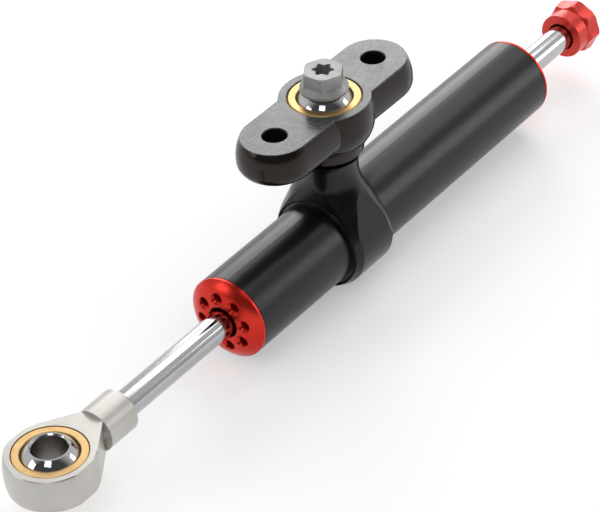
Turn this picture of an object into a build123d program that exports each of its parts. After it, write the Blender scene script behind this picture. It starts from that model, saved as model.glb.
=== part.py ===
"""Motorcycle steering damper: a through-rod hydraulic damper hung from a swivelling bracket.

Frame: the origin is the centre of the bracket's two mounting holes, on its flat top face.
+Z points out of that face, +X runs along the damper from the rod end to the adjuster knob.
All lengths are in millimetres.
"""
import os
from math import asin, atan, cos, degrees, radians, sin, sqrt, tan

from build123d import *

# Frame and layout
tube_drop = 56.8
ball_drop = 6.3
front_face_x = -61.0
rear_face_x = 116.4
rod_end_x = -153.0
knob_face_x = 149.9
piston_x = 16.0
overrun = 1.0
right_angle = 90.0

# Fits between pieces
running_gap = 0.03
thread_gap = 0.02
seal_gap = 0.02
bearing_gap = 0.02

# Bracket
hole_spacing = 57.0
hole_diameter = 8.5
hole_chamfer = 0.4
wing_top_radius = 11.9
wing_bulge = 1.9
wing_waist_depth = 7.5
wing_thickness = 13.7
wing_bottom_round = 5.0
hub_top_radius = 16.1
hub_bulge = 1.0
hub_waist_depth = 8.5
hub_shoulder_drop = 4.5
hub_shoulder_inset = 0.9
hub_neck_radius = 13.2
hub_neck_depth = 17.2
hub_foot_radius = 12.8
hub_foot_round = 0.7
hub_depth = 21.4
hub_bore_radius = 10.2
seat_chamfer = 0.4

# Spherical bearings, the same size at the pivot and in the rod end
race_diameter = 26.0
race_width = 12.5
race_chamfer = 0.5
ball_diameter = 22.2
ball_width = 17.0
liner_thickness = 0.4
liner_width = 11.0
end_bore_diameter = 12.0
ball_bore_chamfer = 0.5

# Pivot screw
screw_diameter = 8.0
screw_point_chamfer = 0.6
head_across_flats = 13.0
head_bevel_angle = 30.0
head_height = 8.5
head_turn = 31.5
head_seat_radius = 7.0
head_seat_height = 0.9
flange_radius = 8.6
flange_rim = 0.9
flange_height = 2.8
hex_foot_radius = 6.8
hex_top_radius = 6.9
hex_bevel_width = 2.0
socket_radius = 3.9
socket_depth = 4.2
socket_lobe_radius = 0.95
socket_flute_radius = 1.5
screw_reach = 30.0
tapped_extra = 2.0

# Collar round the tube, with the post that carries the ball
collar_radius = 18.8
collar_width = 20.9
collar_shift = 0.5
collar_lean = 18.0
collar_lean_height = 24.0
collar_front_bevel = 3.0
collar_front_bevel_rise = 1.3
collar_rear_bevel = 0.7
neck_height = 33.4
skirt_height_share = (-0.6, -0.24, 0, 0.165, 0.30, 0.455, 0.57, 0.66, 0.735, 0.855, 1)
skirt_width_share = (2.14, 2.11, 1.91, 1.73, 1.52, 1.31, 1.12, 0.96, 0.90, 0.90, 1)
skirt_depth_share = (2.14, 2.11, 1.91, 1.80, 1.66, 1.43, 1.27, 1.13, 1.04, 0.97, 1)
neck_radius = 11.0
neck_rim_radius = 11.15
neck_rim_start = 9.0
neck_rim_drop = 5.0
post_radius = 7.4
spigot_clearance = 0.02
spigot_short = 0.4
retainer_recess_gap = 0.3
retainer_recess_extra = 0.3

# Snap rings that hold the collar on the tube
retainer_thickness = 1.5
retainer_stand = 1.4
retainer_groove_depth = 0.5
retainer_gap_width = 6.0
retainer_chamfer = 0.25

# Tube
tube_diameter = 31.0
tube_wall = 2.5
tube_end_chamfer = 0.4

# End caps
cap_rim = 1.2
cap_rim_chamfer = 0.35
cap_crown = 3.0
cap_crown_mid_radius = 11.0
cap_crown_mid = 2.45
cap_plug_length = 17.0
cap_mouth_radius = 5.9
cap_mouth_chamfer = 0.3
cap_mouth_depth = 3.0
spanner_hole_count = 8
spanner_hole_circle = 19.0
spanner_hole_diameter = 3.5
spanner_hole_depth = 6.0
spanner_hole_chamfer = 0.45
spanner_hole_turn = 33.3
wiper_pocket_length = 3.6
web_thickness = 1.5
web_gap = 0.25
seal_pocket_radius = 7.2
seal_length = 4.0
ring_groove_width = 2.2
ring_groove_depth = 1.75
ring_groove_inset = 4.0
o_ring_squash = 0.02

# Rod seals
seal_lip_height = 0.8
seal_notch_depth = 1.6
bush_relief = 0.3

# Rods
rod_diameter = 10.0
rod_in_shank = 17.0
spigot_diameter = 7.0
spigot_in_rear_rod = 10.0
bleed_bore_diameter = 3.0
bleed_reach = 4.0
cross_hole_diameter = 2.2
needle_bore_diameter = 4.0
needle_chamber_diameter = 5.6
needle_chamber_length = 7.0
rod_end_chamfer = 0.6

# Piston and its valves
piston_length = 14.0
piston_diameter = 25.6
piston_ring_width = 6.0
piston_ring_depth = 1.6
port_count = 6
port_diameter = 2.4
port_circle = 16.0
piston_dish_radius = 6.2
piston_dish_depth = 0.8
shim_thickness = 0.4
shim_radii = (10.6, 9.4, 8.2)
stack_washer_radius = 7.0
stack_washer_thickness = 1.5

# Adjuster
drive_across_flats = 3.2
drive_gap = 0.05
drive_reach = 2.2
drive_start = 4.2
drive_roof = 0.7
needle_diameter = 3.9
needle_tip_diameter = 2.2
needle_tip_length = 3.0
needle_seat_gap = 0.9
needle_ring_inset = 14.0
needle_ring_section = 0.8
needle_ring_groove = 1.1
knob_collar_radius = 8.9
knob_collar_length = 6.0
knob_collar_chamfer = 0.4
knob_near_radius = 10.2
knob_face_cone = 1.1
grip_radius = 10.8
grip_length = 6.2
grip_rim_length = 1.0
grip_chamfer = 0.8
lobe_count = 8
flute_turn = 28.0
flute_near_radius = 14.0
flute_near_floor = 9.2
flute_far_radius = 26.0
flute_far_floor = 9.6
knob_mouth_radius = 5.6
knob_mouth_depth = 5.0
knob_end_wall = 5.0
knob_dimple_radius = 6.5
knob_dimple_depth = 0.8
clip_thickness = 0.8
clip_outer_radius = 6.1
clip_groove_depth = 0.5
clip_groove_slack = 0.08
clip_gap_width = 4.0
clip_inset = 1.7

# Rod end housing
head_radius = 16.0
head_edge_radius = 15.3
head_across_sides = 29.2
head_edge_chamfer = 0.3
head_thickness = 12.7
shank_radius = 7.8
shank_slant = 2.2
neck_end_from_centre = 21.0
shank_length = 14.0
neck_side_angle = 33.6
shank_chamfer = 0.9

# Worked out from the sizes above
tube_z = -tube_drop
ball_z = -ball_drop
tube_radius = tube_diameter / 2
bore_radius = tube_radius - tube_wall
rod_radius = rod_diameter / 2
spigot_radius = spigot_diameter / 2
race_radius = race_diameter / 2
ball_radius = ball_diameter / 2
screw_radius = screw_diameter / 2
end_bore_radius = end_bore_diameter / 2
piston_radius = piston_diameter / 2
needle_radius = needle_diameter / 2
needle_bore_radius = needle_bore_diameter / 2
bleed_radius = bleed_bore_diameter / 2
hole_radius = hole_diameter / 2
shim_stack = shim_thickness * len(shim_radii)
stack_half = piston_length / 2 + shim_stack + stack_washer_thickness
front_shoulder_x = piston_x - stack_half
rear_shoulder_x = piston_x + stack_half
spigot_end_x = rear_shoulder_x + spigot_in_rear_rod
shank_start_x = rod_end_x + neck_end_from_centre
shank_end_x = shank_start_x + shank_length
grip_start_x = knob_face_x + knob_collar_length
knob_end_x = grip_start_x + grip_length
rod_rear_x = knob_end_x - knob_end_wall

retainer_outer_radius = tube_radius + retainer_stand
retainer_recess_radius = retainer_outer_radius + retainer_recess_gap
retainer_recess_depth = retainer_thickness + retainer_recess_extra

collar_front_x = collar_shift - collar_width / 2
collar_rear_x = collar_shift + collar_width / 2

# Planes and axes that the turned pieces share
tube_axis = Axis((0, 0, tube_z), (1, 0, 0))
tube_plane = Plane(origin=(0, 0, tube_z), x_dir=(1, 0, 0), z_dir=(0, -1, 0))
pivot_plane = Plane.XZ
end_plane = Plane(origin=(rod_end_x, 0, tube_z), x_dir=(1, 0, 0), z_dir=(0, -1, 0))
end_axis = Axis((rod_end_x, 0, tube_z), (0, 0, 1))

os.makedirs("parts", exist_ok=True)


def save(piece, name):
    """Name a finished piece and write it as one STEP file."""
    piece.part.label = name
    export_step(piece.part, "parts/" + name + ".step")


def outline(points):
    """Close straight edges through the points into a face of the current sketch."""
    with BuildLine() as border:
        Polyline(*points, close=True)
    make_face(border.edges())


def cross_plane(x):
    """A plane square to the damper's axis at x, with its own x along +Y and y along +Z."""
    return Plane(origin=(x, 0, tube_z), x_dir=(0, 1, 0), z_dir=(1, 0, 0))


# Bracket: a bar with bulging sides and rounded ends, on a turned hub that holds the bearing
wing_radius = wing_top_radius + wing_bulge
wing_side_radius = (wing_bulge ** 2 + wing_waist_depth ** 2) / (2 * wing_bulge)
wing_side_angle = asin(wing_waist_depth / wing_side_radius) / 2
wing_side_y = wing_radius - wing_side_radius * (1 - cos(wing_side_angle))
wing_side_z = wing_side_radius * sin(wing_side_angle) - wing_waist_depth
round_middle = wing_bottom_round * (1 - cos(radians(right_angle / 2)))
hub_waist_radius = hub_top_radius + hub_bulge
seat_radius = race_radius + bearing_gap
seat_depth = ball_drop + race_width / 2


def wing_profile():
    """Half section of the bar: flat top, bulging side and a large bottom round."""
    with BuildLine() as border:
        top = Line((0, 0), (wing_top_radius, 0))
        side = ThreePointArc(top @ 1, (wing_side_y, wing_side_z), (wing_radius, -wing_waist_depth))
        wall = Line(side @ 1, (wing_radius, wing_bottom_round - wing_thickness))
        foot = ThreePointArc(wall @ 1, (wing_radius - round_middle, round_middle - wing_thickness),
                             (wing_radius - wing_bottom_round, -wing_thickness))
        Polyline(foot @ 1, (0, -wing_thickness), top @ 0)
    make_face(border.edges())


with BuildPart() as mount_bracket:
    with BuildSketch(Plane.YZ.offset(-hole_spacing / 2)):
        wing_profile()
        mirror(about=Plane.YZ)
    extrude(amount=hole_spacing)
    with BuildSketch(Plane.XZ.move(Location((-hole_spacing / 2, 0, 0)))):
        wing_profile()
    revolve(axis=Axis((-hole_spacing / 2, 0, 0), (0, 0, 1)))
    with BuildSketch(Plane.XZ.move(Location((hole_spacing / 2, 0, 0)))):
        wing_profile()
    revolve(axis=Axis((hole_spacing / 2, 0, 0), (0, 0, 1)))
    with BuildSketch(pivot_plane):
        with BuildLine():
            rim = Line((0, 0), (hub_top_radius, 0))
            side = ThreePointArc(rim @ 1, (hub_waist_radius - hub_bulge / 4, -hub_waist_depth / 2),
                                 (hub_waist_radius, -hub_waist_depth))
            throat = ThreePointArc(side @ 1, (hub_waist_radius - hub_shoulder_inset,
                                              -hub_waist_depth - hub_shoulder_drop),
                                   (hub_neck_radius, -hub_neck_depth))
            Polyline(throat @ 1, (hub_foot_radius, hub_foot_round - hub_depth),
                     (hub_foot_radius - hub_foot_round, -hub_depth), (0, -hub_depth), rim @ 0)
        make_face()
    revolve(axis=Axis.Z)
    with BuildSketch(pivot_plane):
        outline([
            (0, overrun),
            (seat_radius + seat_chamfer + overrun, overrun),
            (seat_radius, -seat_chamfer),
            (seat_radius, -seat_depth),
            (hub_bore_radius, -seat_depth),
            (hub_bore_radius, -hub_depth - overrun),
            (0, -hub_depth - overrun),
        ])
    revolve(axis=Axis.Z, mode=Mode.SUBTRACT)
    with Locations((-hole_spacing / 2, 0, 0), (hole_spacing / 2, 0, 0)):
        CounterSinkHole(hole_radius, hole_radius + hole_chamfer, wing_thickness, right_angle)
save(mount_bracket, "mount_bracket")


# Spherical bearing pieces, made alike at the pivot and in the rod end
liner_outer = ball_radius + bearing_gap + liner_thickness
race_bore = liner_outer + bearing_gap


def race_profile(z):
    """Half section of the brass race: flat faces, outer chamfers and a spherical bore."""
    half = race_width / 2
    opening = sqrt(race_bore ** 2 - half ** 2)
    with BuildLine() as border:
        top = Line((opening + race_chamfer, z + half), (race_radius - race_chamfer, z + half))
        edge = Polyline(top @ 1, (race_radius, z + half - race_chamfer),
                        (race_radius, z - half + race_chamfer),
                        (race_radius - race_chamfer, z - half), (opening + race_chamfer, z - half))
        low = sqrt(race_bore ** 2 - (half - race_chamfer) ** 2)
        lip = Line(edge @ 1, (low, z - half + race_chamfer))
        bowl = ThreePointArc(lip @ 1, (race_bore, z), (low, z + half - race_chamfer))
        Line(bowl @ 1, top @ 0)
    make_face(border.edges())


def liner_profile(z):
    """Half section of the slippery liner between race and ball."""
    half = liner_width / 2
    inner = ball_radius + bearing_gap
    outer_edge = sqrt(liner_outer ** 2 - half ** 2)
    inner_edge = sqrt(inner ** 2 - half ** 2)
    with BuildLine() as border:
        back = ThreePointArc((outer_edge, z - half), (liner_outer, z), (outer_edge, z + half))
        top = Line(back @ 1, (inner_edge, z + half))
        face = ThreePointArc(top @ 1, (inner, z), (inner_edge, z - half))
        Line(face @ 1, back @ 0)
    make_face(border.edges())


def ball_profile(z, bore):
    """Half section of a truncated ball with a chamfered bore."""
    half = ball_width / 2
    flat = sqrt(ball_radius ** 2 - half ** 2)
    with BuildLine() as border:
        round_side = ThreePointArc((flat, z - half), (ball_radius, z), (flat, z + half))
        top = Line(round_side @ 1, (bore + ball_bore_chamfer, z + half))
        hole = Polyline(top @ 1, (bore, z + half - ball_bore_chamfer),
                        (bore, z - half + ball_bore_chamfer), (bore + ball_bore_chamfer, z - half))
        Line(hole @ 1, round_side @ 0)
    make_face(border.edges())


with BuildPart() as pivot_race:
    with BuildSketch(pivot_plane):
        race_profile(ball_z)
    revolve(axis=Axis.Z)
save(pivot_race, "pivot_race")

with BuildPart() as pivot_liner:
    with BuildSketch(pivot_plane):
        liner_profile(ball_z)
    revolve(axis=Axis.Z)
save(pivot_liner, "pivot_liner")

with BuildPart() as pivot_ball:
    with BuildSketch(pivot_plane):
        ball_profile(ball_z, end_bore_radius)
    revolve(axis=Axis.Z)
save(pivot_ball, "pivot_ball")

with BuildPart() as rod_end_race:
    with BuildSketch(end_plane):
        race_profile(0)
    revolve(axis=end_axis)
save(rod_end_race, "rod_end_race")

with BuildPart() as rod_end_liner:
    with BuildSketch(end_plane):
        liner_profile(0)
    revolve(axis=end_axis)
save(rod_end_liner, "rod_end_liner")

with BuildPart() as rod_end_ball:
    with BuildSketch(end_plane):
        ball_profile(0, end_bore_radius)
    revolve(axis=end_axis)
save(rod_end_ball, "rod_end_ball")


# Pivot screw: hexagon head on a flange, six-lobe socket, shank down into the post
ball_top = ball_z + ball_width / 2
ball_foot = ball_z - ball_width / 2
flange_z = ball_top + head_seat_height
head_top = ball_top + head_height
hex_start = flange_z + flange_height
hex_bevel_drop = hex_bevel_width * tan(radians(head_bevel_angle))

with BuildPart() as pivot_screw:
    with BuildSketch(pivot_plane):
        outline([
            (0, ball_top - screw_reach),
            (screw_radius - screw_point_chamfer, ball_top - screw_reach),
            (screw_radius, ball_top - screw_reach + screw_point_chamfer),
            (screw_radius, ball_top),
            (head_seat_radius, ball_top),
            (head_seat_radius, flange_z),
            (flange_radius, flange_z),
            (flange_radius, flange_z + flange_rim),
            (hex_foot_radius, hex_start),
            (0, hex_start),
        ])
    revolve(axis=Axis.Z)
    with BuildSketch(Plane.XY.offset(flange_z + flange_rim)):
        RegularPolygon(head_across_flats / 2, 6, major_radius=False, rotation=head_turn)
    extrude(amount=head_top - flange_z - flange_rim)
    with BuildSketch(pivot_plane):
        outline([
            (hex_top_radius, head_top),
            (hex_top_radius + hex_bevel_width, head_top - hex_bevel_drop),
            (hex_top_radius + hex_bevel_width, head_top + overrun),
            (hex_top_radius, head_top + overrun),
        ])
    revolve(axis=Axis.Z, mode=Mode.SUBTRACT)
    with BuildSketch(Plane.XY.offset(head_top)):
        Circle(socket_radius - socket_lobe_radius / 2)
        with PolarLocations(socket_radius - socket_lobe_radius, 6):
            Circle(socket_lobe_radius)
        with PolarLocations(socket_radius + socket_flute_radius / 3, 6, start_angle=30):
            Circle(socket_flute_radius, mode=Mode.SUBTRACT)
    extrude(amount=-socket_depth, mode=Mode.SUBTRACT)
save(pivot_screw, "pivot_screw")


# Collar: a bevelled ring on the tube, a lofted skirt that draws in to the neck, and a post
lean = radians(collar_lean)
lean_touch_y = collar_radius * cos(lean)
lean_touch_z = collar_radius * sin(lean)
lean_top_y = (collar_radius - collar_lean_height * sin(lean)) / cos(lean)
neck_z = tube_z + neck_height
spigot_top = ball_top - spigot_short
ball_pin_radius = end_bore_radius - spigot_clearance
skirt = zip(skirt_height_share, skirt_width_share, skirt_depth_share)
bevel_plane = Plane(origin=(0, 0, tube_z), x_dir=(1, 0, 0), z_dir=(0, -sin(lean), cos(lean)))
bevel_axis = Axis((0, 0, tube_z), (-1, 0, 0))

with BuildPart() as pivot_collar:
    for share, width, depth in skirt:
        skirt_plane = Plane(origin=(collar_shift * (1 - share), 0, tube_z + neck_height * share))
        with BuildSketch(skirt_plane):
            Ellipse(neck_radius * width, neck_radius * depth)
    loft()
    with BuildSketch(cross_plane(collar_front_x)):
        Circle(collar_radius)
        outline([
            (-lean_touch_y, lean_touch_z),
            (0, 0),
            (lean_touch_y, lean_touch_z),
            (lean_top_y, collar_lean_height),
            (lean_top_y, neck_height),
            (-lean_top_y, neck_height),
            (-lean_top_y, collar_lean_height),
        ])
    extrude(amount=collar_width, mode=Mode.INTERSECT)
    with BuildSketch(bevel_plane):
        outline([
            (collar_front_x - overrun, collar_radius + overrun),
            (collar_front_x - overrun, collar_radius - collar_front_bevel_rise),
            (collar_front_x, collar_radius - collar_front_bevel_rise),
            (collar_front_x + collar_front_bevel, collar_radius),
            (collar_front_x + collar_front_bevel, collar_radius + overrun),
        ])
        outline([
            (collar_rear_x + overrun, collar_radius + overrun),
            (collar_rear_x + overrun, collar_radius - collar_rear_bevel),
            (collar_rear_x, collar_radius - collar_rear_bevel),
            (collar_rear_x - collar_rear_bevel, collar_radius),
            (collar_rear_x - collar_rear_bevel, collar_radius + overrun),
        ])
    revolve(axis=bevel_axis, revolution_arc=2 * (right_angle + collar_lean), mode=Mode.SUBTRACT)
    with BuildSketch(pivot_plane):
        outline([
            (0, neck_z - neck_rim_drop),
            (neck_rim_start, neck_z - neck_rim_drop),
            (neck_rim_radius, neck_z),
            (post_radius, neck_z),
            (post_radius, ball_foot),
            (ball_pin_radius, ball_foot),
            (ball_pin_radius, spigot_top),
            (0, spigot_top),
        ])
    revolve(axis=Axis.Z)
    with BuildSketch(tube_plane):
        outline([
            (collar_front_x - overrun, 0),
            (collar_front_x - overrun, retainer_recess_radius),
            (collar_front_x + retainer_recess_depth, retainer_recess_radius),
            (collar_front_x + retainer_recess_depth, tube_radius + bearing_gap),
            (collar_rear_x - retainer_recess_depth, tube_radius + bearing_gap),
            (collar_rear_x - retainer_recess_depth, retainer_recess_radius),
            (collar_rear_x + overrun, retainer_recess_radius),
            (collar_rear_x + overrun, 0),
        ])
    revolve(axis=tube_axis, mode=Mode.SUBTRACT)
    with Locations((0, 0, spigot_top)):
        Hole(screw_radius + thread_gap, depth=screw_reach + tapped_extra)
save(pivot_collar, "pivot_collar")


def snap_ring(x_start, x_end):
    """A split ring of rectangular section round the tube, open at the bottom."""
    inner = tube_radius - retainer_groove_depth + thread_gap
    with BuildSketch(tube_plane) as section:
        outline([
            (x_start, inner),
            (x_start, retainer_outer_radius - retainer_chamfer),
            (x_start + retainer_chamfer, retainer_outer_radius),
            (x_end - retainer_chamfer, retainer_outer_radius),
            (x_end, retainer_outer_radius - retainer_chamfer),
            (x_end, inner),
        ])
    revolve(section.sketch, axis=tube_axis)
    with Locations(((x_start + x_end) / 2, 0, tube_z - tube_radius)):
        Box(2 * retainer_thickness, retainer_gap_width, tube_radius, mode=Mode.SUBTRACT)


front_ring_x = collar_front_x + retainer_recess_depth - retainer_thickness
rear_ring_x = collar_rear_x - retainer_recess_depth

with BuildPart() as front_snap_ring:
    snap_ring(front_ring_x, front_ring_x + retainer_thickness)
save(front_snap_ring, "front_snap_ring")

with BuildPart() as rear_snap_ring:
    snap_ring(rear_ring_x, rear_ring_x + retainer_thickness)
save(rear_snap_ring, "rear_snap_ring")


# Tube with a groove under each snap ring
tube_front_x = front_face_x + cap_rim
tube_rear_x = rear_face_x - cap_rim
groove_radius = tube_radius - retainer_groove_depth

with BuildPart() as cylinder_tube:
    with BuildSketch(tube_plane):
        outline([
            (tube_front_x, bore_radius + tube_end_chamfer),
            (tube_front_x, tube_radius - tube_end_chamfer),
            (tube_front_x + tube_end_chamfer, tube_radius),
            (front_ring_x, tube_radius),
            (front_ring_x, groove_radius),
            (front_ring_x + retainer_thickness, groove_radius),
            (front_ring_x + retainer_thickness, tube_radius),
            (rear_ring_x, tube_radius),
            (rear_ring_x, groove_radius),
            (rear_ring_x + retainer_thickness, groove_radius),
            (rear_ring_x + retainer_thickness, tube_radius),
            (tube_rear_x - tube_end_chamfer, tube_radius),
            (tube_rear_x, tube_radius - tube_end_chamfer),
            (tube_rear_x, bore_radius + tube_end_chamfer),
            (tube_rear_x - tube_end_chamfer, bore_radius),
            (tube_front_x + tube_end_chamfer, bore_radius),
        ])
    revolve(axis=tube_axis)
save(cylinder_tube, "cylinder_tube")


# End caps: a domed face with spanner holes and a plug that holds the rod's seals and bush
plug_radius = bore_radius - thread_gap
crown_face = cap_rim + cap_crown
wiper_start = crown_face - cap_mouth_depth
wiper_end = wiper_start - wiper_pocket_length
pocket_start = wiper_end - web_thickness
ring_groove_start = -cap_plug_length + ring_groove_inset


def cap_x(depth, side):
    """Place of a point a given height above the tube's end, on the front or rear side."""
    tube_end = tube_front_x if side < 0 else tube_rear_x
    return tube_end + side * depth


def cap_profile(side):
    """Half section of an end cap, measured outwards from the tube's end."""
    groove_floor = plug_radius - ring_groove_depth
    with BuildLine() as border:
        mouth = Line((cap_x(wiper_start, side), cap_mouth_radius),
                     (cap_x(crown_face - cap_mouth_chamfer, side), cap_mouth_radius))
        lip = Line(mouth @ 1, (cap_x(crown_face, side), cap_mouth_radius + cap_mouth_chamfer))
        crown = ThreePointArc(lip @ 1, (cap_x(cap_rim + cap_crown_mid, side), cap_crown_mid_radius),
                              (cap_x(cap_rim, side), tube_radius - cap_rim_chamfer))
        plug = Polyline(
            crown @ 1,
            (cap_x(cap_rim - cap_rim_chamfer, side), tube_radius),
            (cap_x(0, side), tube_radius),
            (cap_x(0, side), plug_radius),
            (cap_x(ring_groove_start + ring_groove_width, side), plug_radius),
            (cap_x(ring_groove_start + ring_groove_width, side), groove_floor),
            (cap_x(ring_groove_start, side), groove_floor),
            (cap_x(ring_groove_start, side), plug_radius),
            (cap_x(-cap_plug_length, side), plug_radius),
            (cap_x(-cap_plug_length, side), seal_pocket_radius),
            (cap_x(pocket_start, side), seal_pocket_radius),
            (cap_x(pocket_start, side), rod_radius + web_gap),
            (cap_x(wiper_end, side), rod_radius + web_gap),
            (cap_x(wiper_end, side), seal_pocket_radius),
            (cap_x(wiper_start, side), seal_pocket_radius),
        )
        Line(plug @ 1, mouth @ 0)
    make_face(border.edges())


def spanner_holes(side):
    """Blind holes round the cap's face, each with a countersunk mouth."""
    face = cap_x(crown_face, side)
    facing = Plane(origin=(face, 0, tube_z), x_dir=(0, 1, 0), z_dir=(side, 0, 0))
    with Locations(facing):
        with PolarLocations(spanner_hole_circle / 2, spanner_hole_count, side * spanner_hole_turn):
            CounterSinkHole(spanner_hole_diameter / 2, spanner_hole_diameter / 2 + 2 * spanner_hole_chamfer,
                            depth=spanner_hole_depth)


with BuildPart() as front_cap:
    with BuildSketch(tube_plane):
        cap_profile(-1)
    revolve(axis=tube_axis)
    spanner_holes(-1)
save(front_cap, "front_cap")

with BuildPart() as rear_cap:
    with BuildSketch(tube_plane):
        cap_profile(1)
    revolve(axis=tube_axis)
    spanner_holes(1)
save(rear_cap, "rear_cap")


def wiper_profile(side):
    """Half section of the wiper: a square heel and a lip that points outwards."""
    outer = seal_pocket_radius - seal_gap
    inner = rod_radius + seal_gap
    outline([
        (cap_x(wiper_start - seal_gap, side), outer),
        (cap_x(wiper_start - seal_gap, side), cap_mouth_radius),
        (cap_x(wiper_start + seal_lip_height, side), inner),
        (cap_x(wiper_start - seal_lip_height, side), inner),
        (cap_x(wiper_start - seal_notch_depth, side), inner + web_gap),
        (cap_x(wiper_end + seal_gap, side), inner + web_gap),
        (cap_x(wiper_end + seal_gap, side), outer),
    ])


def seal_profile(side):
    """Half section of the rod seal: two lips that face the oil."""
    outer = seal_pocket_radius - seal_gap
    inner = rod_radius + seal_gap
    back = pocket_start - seal_gap
    front = pocket_start - seal_length
    middle = (inner + outer) / 2
    outline([
        (cap_x(back, side), outer),
        (cap_x(back, side), inner),
        (cap_x(front + seal_gap, side), inner),
        (cap_x(front + seal_notch_depth, side), middle),
        (cap_x(front + seal_gap, side), outer),
    ])


def bush_profile(side):
    """Half section of the guide bush between the seal and the cap's inner end."""
    start = pocket_start - seal_length
    end = -cap_plug_length + bush_relief
    inner = rod_radius + running_gap
    outline([
        (cap_x(start, side), inner + bush_relief),
        (cap_x(start, side), seal_pocket_radius),
        (cap_x(end, side), seal_pocket_radius),
        (cap_x(end, side), inner + bush_relief),
        (cap_x(end + bush_relief, side), inner),
        (cap_x(start - bush_relief, side), inner),
    ])


def o_ring(x, floor_radius, wall_radius):
    """A round ring that just fills the gap between a groove's floor and the wall outside it."""
    half_thick = (wall_radius - floor_radius) / 2 - o_ring_squash
    with BuildSketch(tube_plane) as section:
        with Locations((x, (wall_radius + floor_radius) / 2)):
            Circle(half_thick)
    revolve(section.sketch, axis=tube_axis)


cap_ring_depth = ring_groove_start + ring_groove_width / 2
cap_ring_floor = plug_radius - ring_groove_depth

with BuildPart() as front_wiper:
    with BuildSketch(tube_plane):
        wiper_profile(-1)
    revolve(axis=tube_axis)
save(front_wiper, "front_wiper")

with BuildPart() as rear_wiper:
    with BuildSketch(tube_plane):
        wiper_profile(1)
    revolve(axis=tube_axis)
save(rear_wiper, "rear_wiper")

with BuildPart() as front_rod_seal:
    with BuildSketch(tube_plane):
        seal_profile(-1)
    revolve(axis=tube_axis)
save(front_rod_seal, "front_rod_seal")

with BuildPart() as rear_rod_seal:
    with BuildSketch(tube_plane):
        seal_profile(1)
    revolve(axis=tube_axis)
save(rear_rod_seal, "rear_rod_seal")

with BuildPart() as front_guide_bush:
    with BuildSketch(tube_plane):
        bush_profile(-1)
    revolve(axis=tube_axis)
save(front_guide_bush, "front_guide_bush")

with BuildPart() as rear_guide_bush:
    with BuildSketch(tube_plane):
        bush_profile(1)
    revolve(axis=tube_axis)
save(rear_guide_bush, "rear_guide_bush")

with BuildPart() as front_cap_o_ring:
    o_ring(cap_x(cap_ring_depth, -1), cap_ring_floor, bore_radius)
save(front_cap_o_ring, "front_cap_o_ring")

with BuildPart() as rear_cap_o_ring:
    o_ring(cap_x(cap_ring_depth, 1), cap_ring_floor, bore_radius)
save(rear_cap_o_ring, "rear_cap_o_ring")


# Front rod: solid, with a spigot that carries the piston and a bleed bore along it
rod_front_x = shank_end_x - rod_in_shank
bleed_end_x = front_shoulder_x - bleed_reach

with BuildPart() as front_rod:
    with BuildSketch(tube_plane):
        outline([
            (rod_front_x, 0),
            (rod_front_x, rod_radius - rod_end_chamfer),
            (rod_front_x + rod_end_chamfer, rod_radius),
            (front_shoulder_x, rod_radius),
            (front_shoulder_x, spigot_radius),
            (spigot_end_x, spigot_radius),
            (spigot_end_x, bleed_radius),
            (bleed_end_x, bleed_radius),
            (bleed_end_x, 0),
        ])
    revolve(axis=tube_axis)
    with Locations((bleed_end_x + cross_hole_diameter, 0, tube_z)):
        Cylinder(cross_hole_diameter / 2, rod_diameter + overrun, mode=Mode.SUBTRACT)
save(front_rod, "front_rod")


# Rear rod: hollow, screwed on to the spigot, with the needle's chamber and the knob's seat
chamber_end_x = spigot_end_x + needle_chamber_length
clip_x = rod_rear_x - clip_inset
clip_floor = rod_radius - clip_groove_depth
needle_ring_x = knob_face_x - needle_ring_inset

with BuildPart() as rear_rod:
    with BuildSketch(tube_plane):
        outline([
            (rear_shoulder_x, spigot_radius + thread_gap),
            (rear_shoulder_x, rod_radius),
            (clip_x, rod_radius),
            (clip_x, clip_floor),
            (clip_x + clip_thickness, clip_floor),
            (clip_x + clip_thickness, rod_radius),
            (rod_rear_x - rod_end_chamfer, rod_radius),
            (rod_rear_x, rod_radius - rod_end_chamfer),
            (rod_rear_x, needle_bore_radius),
            (chamber_end_x, needle_bore_radius),
            (chamber_end_x, needle_chamber_diameter / 2),
            (spigot_end_x + thread_gap, needle_chamber_diameter / 2),
            (spigot_end_x + thread_gap, spigot_radius + thread_gap),
        ])
    revolve(axis=tube_axis)
    with Locations((spigot_end_x + needle_tip_length, 0, tube_z)):
        Cylinder(cross_hole_diameter / 2, rod_diameter + overrun, mode=Mode.SUBTRACT)
save(rear_rod, "rear_rod")


# Piston: a port-drilled disc with a ring groove, held between two stacks of shims
piston_front_x = piston_x - piston_length / 2
piston_rear_x = piston_x + piston_length / 2
piston_ring_floor = piston_radius - piston_ring_depth
spigot_seat = spigot_radius + thread_gap

with BuildPart() as piston:
    with BuildSketch(tube_plane):
        outline([
            (piston_front_x, spigot_seat),
            (piston_front_x, piston_dish_radius),
            (piston_front_x + piston_dish_depth, piston_dish_radius),
            (piston_front_x + piston_dish_depth, shim_radii[-1]),
            (piston_front_x, shim_radii[-1]),
            (piston_front_x, piston_radius),
            (piston_x - piston_ring_width / 2, piston_radius),
            (piston_x - piston_ring_width / 2, piston_ring_floor),
            (piston_x + piston_ring_width / 2, piston_ring_floor),
            (piston_x + piston_ring_width / 2, piston_radius),
            (piston_rear_x, piston_radius),
            (piston_rear_x, shim_radii[-1]),
            (piston_rear_x - piston_dish_depth, shim_radii[-1]),
            (piston_rear_x - piston_dish_depth, piston_dish_radius),
            (piston_rear_x, piston_dish_radius),
            (piston_rear_x, spigot_seat),
        ])
    revolve(axis=tube_axis)
    with Locations(cross_plane(piston_rear_x)):
        with PolarLocations(port_circle / 2, port_count):
            Hole(port_diameter / 2, depth=piston_length)
save(piston, "piston")

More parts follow.
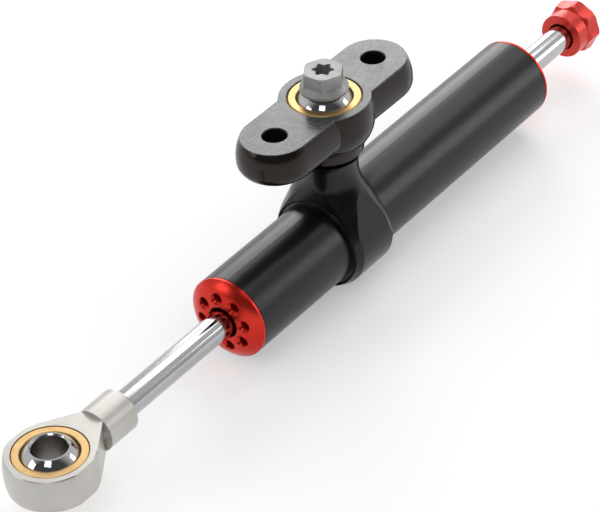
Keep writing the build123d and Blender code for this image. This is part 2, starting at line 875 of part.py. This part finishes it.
with BuildPart() as piston_ring:
    with BuildSketch(tube_plane):
        outline([
            (piston_x - piston_ring_width / 2 + running_gap, piston_ring_floor + running_gap),
            (piston_x - piston_ring_width / 2 + running_gap, bore_radius - running_gap),
            (piston_x + piston_ring_width / 2 - running_gap, bore_radius - running_gap),
            (piston_x + piston_ring_width / 2 - running_gap, piston_ring_floor + running_gap),
        ])
    revolve(axis=tube_axis)
save(piston_ring, "piston_ring")


def shim_steps(start_x, side):
    """Half section of a stack of shims, the widest against the piston."""
    points = [(start_x, spigot_seat)]
    for index, radius in enumerate(shim_radii):
        points.append((start_x + side * index * shim_thickness, radius))
        points.append((start_x + side * (index + 1) * shim_thickness, radius))
    points.append((start_x + side * shim_stack, spigot_seat))
    outline(points)


def washer_profile(start_x, end_x):
    """Half section of the plain washer that backs a stack of shims."""
    outline([
        (start_x, spigot_seat),
        (start_x, stack_washer_radius),
        (end_x, stack_washer_radius),
        (end_x, spigot_seat),
    ])


with BuildPart() as front_shims:
    with BuildSketch(tube_plane):
        shim_steps(piston_front_x, -1)
    revolve(axis=tube_axis)
save(front_shims, "front_shims")

with BuildPart() as rear_shims:
    with BuildSketch(tube_plane):
        shim_steps(piston_rear_x, 1)
    revolve(axis=tube_axis)
save(rear_shims, "rear_shims")

with BuildPart() as front_stack_washer:
    with BuildSketch(tube_plane):
        washer_profile(front_shoulder_x, piston_front_x - shim_stack)
    revolve(axis=tube_axis)
save(front_stack_washer, "front_stack_washer")

with BuildPart() as rear_stack_washer:
    with BuildSketch(tube_plane):
        washer_profile(piston_rear_x + shim_stack, rear_shoulder_x)
    revolve(axis=tube_axis)
save(rear_stack_washer, "rear_stack_washer")


# Needle: tapered tip, O-ring groove and a hexagonal tail that the knob drives
needle_front_x = spigot_end_x + needle_seat_gap
needle_body_x = needle_front_x + needle_tip_length
drive_x = rod_rear_x - drive_start
needle_end_x = rod_rear_x + drive_reach
ring_half = needle_ring_groove / 2
needle_floor = needle_bore_radius - needle_ring_section

with BuildPart() as adjuster_needle:
    with BuildSketch(tube_plane):
        outline([
            (needle_front_x, 0),
            (needle_front_x, needle_tip_diameter / 4),
            (needle_body_x, needle_tip_diameter / 2),
            (needle_body_x, needle_radius),
            (needle_ring_x - ring_half, needle_radius),
            (needle_ring_x - ring_half, needle_floor),
            (needle_ring_x + ring_half, needle_floor),
            (needle_ring_x + ring_half, needle_radius),
            (drive_x, needle_radius),
            (drive_x, 0),
        ])
    revolve(axis=tube_axis)
    with BuildSketch(cross_plane(drive_x)):
        RegularPolygon(drive_across_flats / 2, 6, major_radius=False)
    extrude(amount=needle_end_x - drive_x)
save(adjuster_needle, "adjuster_needle")

with BuildPart() as needle_o_ring:
    o_ring(needle_ring_x, needle_floor, needle_bore_radius)
save(needle_o_ring, "needle_o_ring")


# Knob: a plain collar, then a fluted grip that widens towards its far rim
bore_x = knob_face_x + knob_mouth_depth
knob_bore_radius = rod_radius + running_gap
clip_room = clip_outer_radius + clip_groove_slack
grip_rim_x = knob_end_x - grip_rim_length

with BuildPart() as flute_cutter:
    with BuildSketch(cross_plane(grip_start_x)):
        with Locations((flute_near_floor + flute_near_radius, 0)):
            Circle(flute_near_radius)
    with BuildSketch(cross_plane(knob_end_x)):
        with Locations((flute_far_floor + flute_far_radius, 0)):
            Circle(flute_far_radius)
    loft()

with BuildPart() as adjuster_knob:
    with BuildSketch(tube_plane):
        outline([
            (knob_face_x, knob_mouth_radius),
            (knob_face_x, knob_collar_radius - knob_collar_chamfer),
            (knob_face_x + knob_collar_chamfer, knob_collar_radius),
            (grip_start_x, knob_collar_radius),
            (grip_start_x + knob_face_cone, knob_near_radius),
            (grip_rim_x, grip_radius),
            (knob_end_x, grip_radius - grip_chamfer),
            (knob_end_x, knob_dimple_radius),
            (knob_end_x - knob_dimple_depth, knob_dimple_radius - knob_dimple_depth),
            (knob_end_x - knob_dimple_depth, 0),
            (rod_rear_x + running_gap, 0),
            (rod_rear_x + running_gap, knob_bore_radius),
            (clip_x + clip_thickness + clip_groove_slack, knob_bore_radius),
            (clip_x + clip_thickness + clip_groove_slack, clip_room),
            (clip_x - clip_groove_slack, clip_room),
            (clip_x - clip_groove_slack, knob_bore_radius),
            (bore_x, knob_bore_radius),
            (bore_x, knob_mouth_radius),
        ])
    revolve(axis=tube_axis)
    for lobe in range(lobe_count):
        turned = flute_cutter.part.rotate(tube_axis, flute_turn + 4 * right_angle * lobe / lobe_count)
        add(turned, mode=Mode.SUBTRACT)
    with BuildSketch(cross_plane(rod_rear_x)):
        RegularPolygon(drive_across_flats / 2 + drive_gap, 6, major_radius=False)
    extrude(amount=knob_end_wall - knob_dimple_depth - drive_roof, mode=Mode.SUBTRACT)
save(adjuster_knob, "adjuster_knob")

with BuildPart() as knob_clip:
    with BuildSketch(tube_plane):
        outline([
            (clip_x + thread_gap, clip_floor + thread_gap),
            (clip_x + thread_gap, clip_outer_radius),
            (clip_x + clip_thickness - thread_gap, clip_outer_radius),
            (clip_x + clip_thickness - thread_gap, clip_floor + thread_gap),
        ])
    revolve(axis=tube_axis)
    with Locations((clip_x + clip_thickness / 2, 0, tube_z - rod_radius)):
        Box(2 * clip_thickness, clip_gap_width, rod_radius, mode=Mode.SUBTRACT)
save(knob_clip, "knob_clip")


# Rod end: a turned eye with two flats, sides that close in, and a shank with slanted shoulders
half_head = head_thickness / 2
neck_lean = radians(neck_side_angle)
touch_x = head_edge_radius * sin(neck_lean)
touch_y = head_edge_radius * cos(neck_lean)
neck_end_y = touch_y - (neck_end_from_centre - touch_x) * tan(neck_lean)
eye_bore_radius = race_radius + bearing_gap

with BuildPart() as rod_end_housing:
    with BuildSketch(end_plane):
        with BuildLine():
            top = Line((0, half_head), (head_edge_radius - head_edge_chamfer, half_head))
            crown = Line(top @ 1, (head_edge_radius, half_head - head_edge_chamfer))
            side = ThreePointArc(crown @ 1, (head_radius, 0),
                                 (head_edge_radius, head_edge_chamfer - half_head))
            Polyline(side @ 1, (head_edge_radius - head_edge_chamfer, -half_head),
                     (0, -half_head), top @ 0)
        make_face()
    revolve(axis=end_axis)
    with Locations((rod_end_x, 0, tube_z)):
        Box(2 * head_radius, head_across_sides, head_thickness, mode=Mode.INTERSECT)
    with BuildSketch(Plane(origin=(rod_end_x, 0, tube_z - half_head), z_dir=(0, 0, 1))):
        outline([
            (touch_x, touch_y),
            (neck_end_from_centre, neck_end_y),
            (neck_end_from_centre, -neck_end_y),
            (touch_x, -touch_y),
        ])
    extrude(amount=head_thickness)
    with BuildSketch(tube_plane):
        outline([
            (shank_start_x, 0),
            (shank_start_x, shank_radius),
            (shank_end_x - shank_chamfer, shank_radius),
            (shank_end_x, shank_radius - shank_chamfer),
            (shank_end_x, 0),
        ])
    revolve(axis=tube_axis)
    with BuildSketch(tube_plane):
        with Locations((shank_start_x, 0)):
            outline([
                (0, half_head),
                (shank_slant, shank_radius),
                (0, shank_radius),
            ])
            mirror(about=Plane.XZ)
    extrude(amount=shank_radius, both=True, mode=Mode.SUBTRACT)
    with BuildSketch(Plane(origin=(rod_end_x, 0, tube_z - half_head), z_dir=(0, 0, 1))):
        Circle(eye_bore_radius)
    extrude(amount=head_thickness, mode=Mode.SUBTRACT)
    with BuildSketch(cross_plane(shank_end_x)):
        Circle(rod_radius + thread_gap)
    extrude(amount=-rod_in_shank, mode=Mode.SUBTRACT)
save(rod_end_housing, "rod_end_housing")
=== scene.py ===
import math
import bpy
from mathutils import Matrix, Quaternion, Vector

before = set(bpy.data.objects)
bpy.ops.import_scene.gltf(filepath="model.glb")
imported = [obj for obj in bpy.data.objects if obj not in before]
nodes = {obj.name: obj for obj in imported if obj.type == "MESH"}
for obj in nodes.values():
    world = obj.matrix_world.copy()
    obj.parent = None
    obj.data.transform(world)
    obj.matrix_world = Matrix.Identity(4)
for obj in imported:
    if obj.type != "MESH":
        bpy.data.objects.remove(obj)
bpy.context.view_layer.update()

print("frame loaded:", len(nodes), "nodes")

tubeZ = -0.0568     # height of the damper's axis below the bracket's face
eyeX = -0.153       # rod end's centre along the axis
facePoint = (0, 0, 0)       # middle of the bracket's face, over the pivot's bearing
axisPoint = (0, 0, tubeZ)
eyePoint = (eyeX, 0, tubeZ)


# a node's output, on which Python's operators add Math nodes
class Wire:
    def __init__(self, finish, socket):
        self.finish = finish
        self.socket = socket

    def math(self, operation, other, swap=False, clamp=False):
        pair = [other, self] if swap else [self, other]
        return self.finish.add("ShaderNodeMath", {"operation": operation, "use_clamp": clamp},
                               dict(enumerate(pair)))

    def __add__(self, other):
        return self.math("ADD", other)

    def __radd__(self, other):
        return self.math("ADD", other, swap=True)

    def __sub__(self, other):
        return self.math("SUBTRACT", other)

    def __rsub__(self, other):
        return self.math("SUBTRACT", other, swap=True)

    def __mul__(self, other):
        return self.math("MULTIPLY", other)

    def __rmul__(self, other):
        return self.math("MULTIPLY", other, swap=True)

    def __pow__(self, other):
        return self.math("POWER", other)


# the nodes of one material, or of the world
class Finish:
    def __init__(self, owner):
        self.owner = owner
        owner.use_nodes = True
        self.tree = owner.node_tree
        self.tree.nodes.clear()

    def add(self, kind, settings=None, inputs=None, output=0):
        node = self.tree.nodes.new(kind)
        for key, value in (settings or {}).items():
            setattr(node, key, value)
        for key, value in (inputs or {}).items():
            if isinstance(value, Wire):
                self.tree.links.new(value.socket, node.inputs[key])
            else:
                node.inputs[key].default_value = value
        return Wire(self, node.outputs[output]) if node.outputs else None

    # object coordinates, moved so that a piece's own centre is the pattern's centre
    def place(self, centre=(0, 0, 0), scale=(1, 1, 1)):
        here = self.add("ShaderNodeTexCoord", output="Object")
        moved = [-along * stretch for along, stretch in zip(centre, scale)]
        return self.add("ShaderNodeMapping", {"vector_type": "POINT"},
                        {"Vector": here, "Location": moved, "Scale": scale})

    def axes(self, point):
        split = self.add("ShaderNodeSeparateXYZ", inputs={"Vector": point})
        return [Wire(self, socket) for socket in split.socket.node.outputs]

    # what a ray comes from: the camera, or something that mirrors or lets light through
    def rays(self):
        seen = self.add("ShaderNodeLightPath", output="Is Camera Ray")
        path = seen.socket.node.outputs
        mirrored = Wire(self, path["Is Glossy Ray"])
        return seen, mirrored.math("ADD", Wire(self, path["Is Transmission Ray"]), clamp=True)

    def noise(self, point, scale, detail=2.0, rough=0.5):
        return self.add("ShaderNodeTexNoise", inputs={"Vector": point, "Scale": scale, "Detail": detail,
                                                      "Roughness": rough})

    def spread(self, wire, low, high, fromLow=0.0, fromHigh=1.0):
        return self.add("ShaderNodeMapRange", {"clamp": True},
                        {"Value": wire, "From Min": fromLow, "From Max": fromHigh,
                         "To Min": low, "To Max": high})

    # noise keeps near 0.5, and reach says how far from there it still counts
    def spreadNoise(self, wire, low, high, reach=0.2):
        return self.spread(wire, low, high, 0.5 - reach, 0.5 + reach)

    def shade(self, factor, dark, light):
        dark, light = [tone if isinstance(tone, Wire) else (*tone, 1) for tone in (dark, light)]
        colourA, colourB, result = 6, 7, 2      # the Mix node's colour sockets share names with others
        return self.add("ShaderNodeMix", {"data_type": "RGBA"},
                        {"Factor": factor, colourA: dark, colourB: light}, output=result)

    def bump(self, height, strength, depth):
        return self.add("ShaderNodeBump", inputs={"Height": height, "Strength": strength,
                                                  "Distance": depth})

    def done(self, inputs, **constants):
        values = dict(inputs)
        values.update({key.replace("_", " "): value for key, value in constants.items()})
        shader = self.add("ShaderNodeBsdfPrincipled", inputs=values)
        self.add("ShaderNodeOutputMaterial", inputs={"Surface": shader})
        return self.owner


# one pattern over another, by the first one's share
def merge(one, other, share=0.5):
    return one * share + other * (1 - share)


# gives each finish to the pieces that it is for
def dress(maker, looks):
    for name, look in looks.items():
        material = maker(name, look)
        for piece in look["pieces"]:
            for slot in nodes[piece].material_slots:
                slot.material = material
    print("dressed:", ", ".join(looks))


# an even black film with the faint drawn lines of the metal under it; rubber and liner are made
# the same way, with coarser grain
def anodisedBlack(name, look):
    finish = Finish(bpy.data.materials.new(name))
    point = finish.place(look["centre"])
    drawnPlace = finish.place(look["centre"], look.get("stretch", (1, 1, 1)))
    drawn = finish.noise(drawnPlace, look["lines"], detail=4.0, rough=0.6)
    grain = finish.noise(point, look["grain"], detail=3.0, rough=0.6)
    cloud = finish.noise(point, look["cloud"])
    specks = finish.noise(point, look["speck"], rough=0.6)
    worn = finish.spread(specks, low=0, high=0.5, fromLow=0.74, fromHigh=0.78)     # few and faint
    shade = finish.shade(cloud, look["dark"], look["light"])
    return finish.done({
        "Base Color": finish.shade(worn, shade, look["speckColour"]),
        "Roughness": finish.spreadNoise(merge(grain, drawn), look["smooth"], look["rough"], reach=0.15),
        "Normal": finish.bump(merge(drawn, grain, share=0.6), look["bump"], depth=0.00002),
    }, Metallic=look["metallic"], Specular_IOR_Level=look["gloss"],
        Specular_Tint=(*look.get("tint", (1, 1, 1)), 1))


dress(anodisedBlack, {
    "tubeBlack": {
        "pieces": ["cylinder_tube"],
        "centre": axisPoint, "stretch": (0.04, 1, 1), "lines": 5000, "grain": 7000, "cloud": 40,
        "speck": 420, "speckColour": (0.05, 0.05, 0.055),
        "dark": (0.0035, 0.0035, 0.004), "light": (0.006, 0.006, 0.0065), "tint": (0.965, 0.965, 1.0),
        "smooth": 0.25, "rough": 0.38, "bump": 0.18, "metallic": 0.0, "gloss": 0.38},
    "collarBlack": {
        "pieces": ["pivot_collar"],
        "centre": axisPoint, "lines": 6000, "grain": 7000, "cloud": 60,
        "speck": 420, "speckColour": (0.03, 0.03, 0.03),
        "dark": (0.0035, 0.0035, 0.004), "light": (0.006, 0.006, 0.0068), "tint": (0.965, 0.965, 1.0),
        "smooth": 0.20, "rough": 0.29, "bump": 0.08, "metallic": 0.0, "gloss": 0.34},
    "ringBlack": {
        "pieces": ["front_snap_ring", "rear_snap_ring"],
        "centre": axisPoint, "lines": 6000, "grain": 7000, "cloud": 60,
        "speck": 420, "speckColour": (0.03, 0.03, 0.03),
        "dark": (0.012, 0.012, 0.013), "light": (0.022, 0.022, 0.024),
        "smooth": 0.18, "rough": 0.28, "bump": 0.08, "metallic": 0.3, "gloss": 0.6},
    "sealRubber": {
        "pieces": ["front_wiper", "rear_wiper", "front_rod_seal", "rear_rod_seal", "front_cap_o_ring",
                   "rear_cap_o_ring", "needle_o_ring"],
        "centre": axisPoint, "lines": 3000, "grain": 4000, "cloud": 80,
        "speck": 300, "speckColour": (0.03, 0.03, 0.03),
        "dark": (0.010, 0.010, 0.010), "light": (0.020, 0.020, 0.020),
        "smooth": 0.5, "rough": 0.7, "bump": 0.3, "metallic": 0.0, "gloss": 0.35},
    "linerWeave": {
        "pieces": ["pivot_liner", "rod_end_liner", "piston_ring"],
        "centre": facePoint, "lines": 3000, "grain": 3000, "cloud": 200,
        "speck": 300, "speckColour": (0.08, 0.07, 0.06),
        "dark": (0.02, 0.018, 0.016), "light": (0.05, 0.045, 0.04),
        "smooth": 0.5, "rough": 0.7, "bump": 0.4, "metallic": 0.0, "gloss": 0.4},
})


# the bracket: glossy brown-black sides, and a flat top with the arcs of the cutter that faced it
def facedBlack(name, look):
    finish = Finish(bpy.data.materials.new(name))
    point = finish.place(look["centre"])
    x, y, z = finish.axes(point)
    top = finish.spread(z, 0, 1, *look["topEdge"])
    passes = []
    for cutterX, cutterY in look["cutters"]:
        farX = x - cutterX
        farY = y - cutterY
        radius = (farX * farX + farY * farY) ** 0.5
        turned = farX.math("ARCTAN2", farY) * look["sweep"]
        sweep = finish.add("ShaderNodeCombineXYZ", inputs={"X": radius, "Y": turned})
        passes.append(finish.noise(sweep, look["arcs"], detail=5.0, rough=0.7))
    arcs = merge(*passes)
    grain = finish.noise(point, look["grain"], detail=3.0, rough=0.6)
    cloud = finish.noise(point, look["cloud"], detail=3.0, rough=0.6)
    marks = finish.spreadNoise(merge(arcs, cloud, share=0.75), 0, 1, reach=0.1)
    sides = finish.shade(cloud, look["dark"], look["light"])
    faced = finish.shade(marks, look["topDark"], look["topLight"])
    rough = finish.spreadNoise(grain, look["smooth"], look["rough"], reach=0.15)
    return finish.done({
        "Base Color": finish.shade(top, sides, faced),
        "Roughness": rough + top * marks * look["topRough"],
        "Metallic": top * look["topMetal"],
        "Normal": finish.bump(merge(top * arcs, grain, share=0.7), look["bump"], depth=0.00003),
    }, Specular_IOR_Level=look["gloss"], Specular_Tint=(*look["tint"], 1))


dress(facedBlack, {
    "bracketBlack": {
        "pieces": ["mount_bracket"],
        "centre": facePoint, "topEdge": (-0.00035, -0.0001),
        "cutters": ((-0.012, 0.085), (0.070, 0.020)), "sweep": 0.005, "arcs": 1500,
        "grain": 6000, "cloud": 90, "dark": (0.006, 0.0042, 0.0036), "light": (0.013, 0.0090, 0.0076),
        "topDark": (0.058, 0.062, 0.064), "topLight": (0.168, 0.178, 0.182), "topMetal": 0.7,
        "topRough": 0.20, "smooth": 0.13, "rough": 0.20, "bump": 0.35, "gloss": 0.32,
        "tint": (1.0, 0.90, 0.86)},
})


# fine rings left by the lathe round the piece's own axis
def turnedMetal(name, look):
    finish = Finish(bpy.data.materials.new(name))
    point = finish.place(look["centre"])
    x, y, z = finish.axes(point)
    along, one, other = {"X": (x, y, z), "Z": (z, x, y)}[look["axis"]]
    radius = (one * one + other * other) ** 0.5
    ringPlace = finish.add("ShaderNodeCombineXYZ", inputs={"X": radius, "Y": along})
    rings = finish.noise(ringPlace, look["rings"], detail=4.0, rough=0.7)
    cloud = finish.noise(point, look["cloud"], detail=3.0)
    mixed = merge(rings, cloud, look.get("ringShare", 0.5))
    tone = finish.shade(finish.spreadNoise(mixed, 0, 1), look["dark"], look["light"])
    rough = finish.spreadNoise(rings, look["smooth"], look["rough"])
    if "bore" in look:
        # the ball's bore is rougher, and its colour is darkened with painted shade of the hole, inside
        # the polished edge of its mouth
        boreDullAndShaded = finish.spread(radius, 1, 0, look["bore"], look["bore"] + look["boreEdge"])
        tone = finish.shade(boreDullAndShaded, tone, look["boreShadeColour"])
        rough = rough + boreDullAndShaded * look["boreRough"]
    return finish.done({
        "Base Color": tone,
        "Roughness": rough,
        "Normal": finish.bump(rings, look["bump"], look["depth"]),
    }, Metallic=look["metallic"], Specular_IOR_Level=look.get("gloss", 0.5))


brass = {
    "pieces": ["pivot_race"],
    "centre": facePoint, "axis": "Z", "rings": 2600, "cloud": 160,
    "dark": (0.50, 0.31, 0.115), "light": (0.74, 0.51, 0.25),
    "smooth": 0.34, "rough": 0.48, "bump": 0.35, "depth": 0.00004, "metallic": 1.0,
}
chromeBall = {
    "pieces": ["pivot_ball"],
    "centre": facePoint, "axis": "Z", "rings": 1500, "cloud": 90,
    "dark": (0.50, 0.51, 0.52), "light": (0.58, 0.585, 0.59),
    "smooth": 0.05, "rough": 0.09, "bump": 0.03, "depth": 0.00002, "metallic": 1.0,
    # the bore's darker colour is painted shade inside the hole; its extra roughness is the bore's duller
    # finish
    "bore": 0.00605, "boreEdge": 0.00015, "boreShadeColour": (0.22, 0.21, 0.195), "boreRough": 0.25,
}
dress(turnedMetal, {
    "brass": brass,
    "eyeBrass": {**brass, "pieces": ["rod_end_race"], "centre": eyePoint},
    "chromeBall": chromeBall,
    "eyeChrome": {**chromeBall, "pieces": ["rod_end_ball"], "centre": eyePoint},
    "rodChrome": {
        "pieces": ["front_rod", "rear_rod"],
        "centre": axisPoint, "axis": "X", "rings": 1200, "cloud": 90,
        "dark": (0.43, 0.432, 0.44), "light": (0.50, 0.502, 0.51),
        "smooth": 0.09, "rough": 0.13, "bump": 0.015, "depth": 0.00002, "metallic": 1.0},
    "capRed": {
        "pieces": ["front_cap", "rear_cap"],
        "centre": axisPoint, "axis": "X", "rings": 5200, "ringShare": 0.12, "cloud": 70,
        "dark": (0.54, 0.018, 0.010), "light": (0.68, 0.034, 0.018),
        "smooth": 0.25, "rough": 0.31, "bump": 0.06, "depth": 0.00002, "metallic": 0.8},
    "knobRed": {
        "pieces": ["adjuster_knob"],
        "centre": axisPoint, "axis": "X", "rings": 5200, "ringShare": 0.1, "cloud": 70,
        "dark": (0.60, 0.028, 0.017), "light": (0.70, 0.046, 0.029), "gloss": 0.55,
        "smooth": 0.28, "rough": 0.31, "bump": 0.03, "depth": 0.00002, "metallic": 0.45},
    "springSteel": {
        "pieces": ["piston", "front_shims", "rear_shims", "front_stack_washer", "rear_stack_washer",
                   "knob_clip", "adjuster_needle"],
        "centre": axisPoint, "axis": "X", "rings": 2400, "cloud": 70,
        "dark": (0.30, 0.30, 0.31), "light": (0.46, 0.46, 0.47),
        "smooth": 0.25, "rough": 0.38, "bump": 0.3, "depth": 0.00003, "metallic": 1.0},
    "bronze": {
        "pieces": ["front_guide_bush", "rear_guide_bush"],
        "centre": axisPoint, "axis": "X", "rings": 2400, "cloud": 70,
        "dark": (0.28, 0.17, 0.08), "light": (0.44, 0.29, 0.14),
        "smooth": 0.35, "rough": 0.5, "bump": 0.3, "depth": 0.00003, "metallic": 1.0},
})


# cast, plated or blasted metal with no cutter's marks
def grainyMetal(name, look):
    finish = Finish(bpy.data.materials.new(name))
    point = finish.place(look["centre"])
    grain = finish.noise(point, look["grain"], detail=5.0, rough=0.75)
    cloud = finish.noise(point, look["cloud"])
    mottle = finish.spreadNoise(merge(grain, cloud, share=0.6), 0, 1)
    return finish.done({
        "Base Color": finish.shade(mottle, look["dark"], look["light"]),
        "Roughness": finish.spreadNoise(grain, look["smooth"], look["rough"]),
        "Normal": finish.bump(grain, look["bump"], look["depth"]),
    }, Metallic=look["metallic"])


dress(grainyMetal, {
    "satinSilver": {
        "pieces": ["rod_end_housing"],
        "centre": eyePoint, "grain": 5200, "cloud": 60,
        "dark": (0.45, 0.435, 0.405), "light": (0.60, 0.585, 0.55),
        "smooth": 0.30, "rough": 0.42, "bump": 0.22, "depth": 0.00004, "metallic": 0.9},
    "zincGrey": {
        "pieces": ["pivot_screw"],
        "centre": facePoint, "grain": 2600, "cloud": 160,
        "dark": (0.20, 0.20, 0.195), "light": (0.52, 0.52, 0.505),
        "smooth": 0.40, "rough": 0.60, "bump": 0.8, "depth": 0.00006, "metallic": 0.6},
})


# a white table in a room that is bright behind the damper and dim on the camera's side
studio = {
    "floorZ": -0.0768,      # just clear of the collar's underside
    "floorSize": 8.0,
    "floorColour": (0.91, 0.91, 0.915, 1),
    "floorGlow": 0.30,      # added where the camera and polished metal see the floor
    "floorGrain": 30,
    "floorSmooth": 0.85,
    "floorRough": 0.95,
    "roomFill": 0.50,       # how strongly the room lights matt surfaces
    "roomBack": 0.75,       # what polished metal sees behind the damper
    "roomFront": 0.08,      # and on the dark side, where the camera stands
    "cameraSide": (-0.78, -0.62),
    "roomTurn": (-0.1, 0.45),       # how far towards the camera's side it starts and ends darkening
}

bpy.ops.object.select_all(action="DESELECT")
bpy.ops.mesh.primitive_plane_add(size=studio["floorSize"], location=(0, 0, 0))
floor = bpy.context.object
floor.name = "floor"
for vertex in floor.data.vertices:
    vertex.co.z += studio["floorZ"]
paper = Finish(bpy.data.materials.new("floorPaper"))
seen, mirrored = paper.rays()
mottle = paper.noise(paper.place(), studio["floorGrain"])
paper.done({
    "Base Color": studio["floorColour"],
    "Roughness": paper.spread(mottle, studio["floorSmooth"], studio["floorRough"]),
    "Emission Color": paper.shade(seen.math("ADD", mirrored, clamp=True), (0, 0, 0), (1, 1, 1)),
}, Emission_Strength=studio["floorGlow"], Specular_IOR_Level=0.0)
floor.data.materials.append(paper.owner)

world = bpy.data.worlds.new("studioWorld")
bpy.context.scene.world = world
room = Finish(world)
east, north = room.axes(room.add("ShaderNodeTexCoord", output="Generated"))[:2]
seen, mirrored = room.rays()
towardCamera = east * studio["cameraSide"][0] + north * studio["cameraSide"][1]
walls = room.spread(towardCamera, studio["roomBack"], studio["roomFront"], *studio["roomTurn"])
level = seen + (1 - seen) * (mirrored * walls + (1 - mirrored) * studio["roomFill"])
backdrop = room.add("ShaderNodeBackground", inputs={"Color": (1, 1, 1, 1), "Strength": level})
room.add("ShaderNodeOutputWorld", inputs={"Surface": backdrop})

# each soft box stands where its name says, seen from the damper: bearing, climb and roll are in
# degrees, away and size in metres, and glow is its brightness
lamps = {
    "backLeft": {"bearing": 42, "climb": 22, "away": 1.5, "size": (0.54, 0.84), "glow": 4.2, "roll": 20},
    "overhead": {"bearing": 8, "climb": 51, "away": 1.3, "size": (0.92, 0.44), "glow": 2.1},
    "backRight": {"bearing": -44, "climb": 17, "away": 1.5, "size": (0.38, 0.62), "glow": 3.5},
    "besideCamera": {"bearing": 203, "climb": 44, "away": 1.3, "size": (0.46, 0.40), "glow": 2.4},
    "frontLeft": {"bearing": 147, "climb": 19, "away": 1.4, "size": (0.50, 0.55), "glow": 3.0},
}
for name, lamp in lamps.items():
    data = bpy.data.lights.new(name, "AREA")
    data.shape = "RECTANGLE"
    data.size, data.size_y = lamp["size"]
    data.energy = lamp["glow"] * math.pi * data.size * data.size_y      # watts for an even glow
    box = bpy.data.objects.new(name, data)
    bearing, climb = math.radians(lamp["bearing"]), math.radians(lamp["climb"])
    flat = math.cos(climb)
    out = Vector((math.cos(bearing) * flat, math.sin(bearing) * flat, math.sin(climb)))
    box.location = out * lamp["away"] + Vector(axisPoint)
    roll = Quaternion((0, 0, 1), math.radians(lamp.get("roll", 0)))
    box.rotation_euler = (out.to_track_quat("Z", "Y") @ roll).to_euler()
    bpy.context.scene.collection.objects.link(box)
print("floor, room and", len(lamps), "lamps ready")

# the place that the photograph was taken from, in metres, degrees and millimetres of lens
shot = {
    "at": (-0.63135, -0.49995, 0.52710),
    "turn": (53.48284, 3.36061, -53.22698),
    "lens": 167.888,
    "sensor": 36.0,
    "farthest": 50,
}
cameraData = bpy.data.cameras.new("studioCamera")
cameraData.lens = shot["lens"]
cameraData.sensor_width = shot["sensor"]
cameraData.sensor_fit = "HORIZONTAL"
cameraData.clip_end = shot["farthest"]
camera = bpy.data.objects.new("studioCamera", cameraData)
camera.location = shot["at"]
camera.rotation_euler = [math.radians(angle) for angle in shot["turn"]]
bpy.context.scene.collection.objects.link(camera)
bpy.context.scene.camera = camera
bpy.context.scene.view_settings.view_transform = "Standard"
print("camera ready")
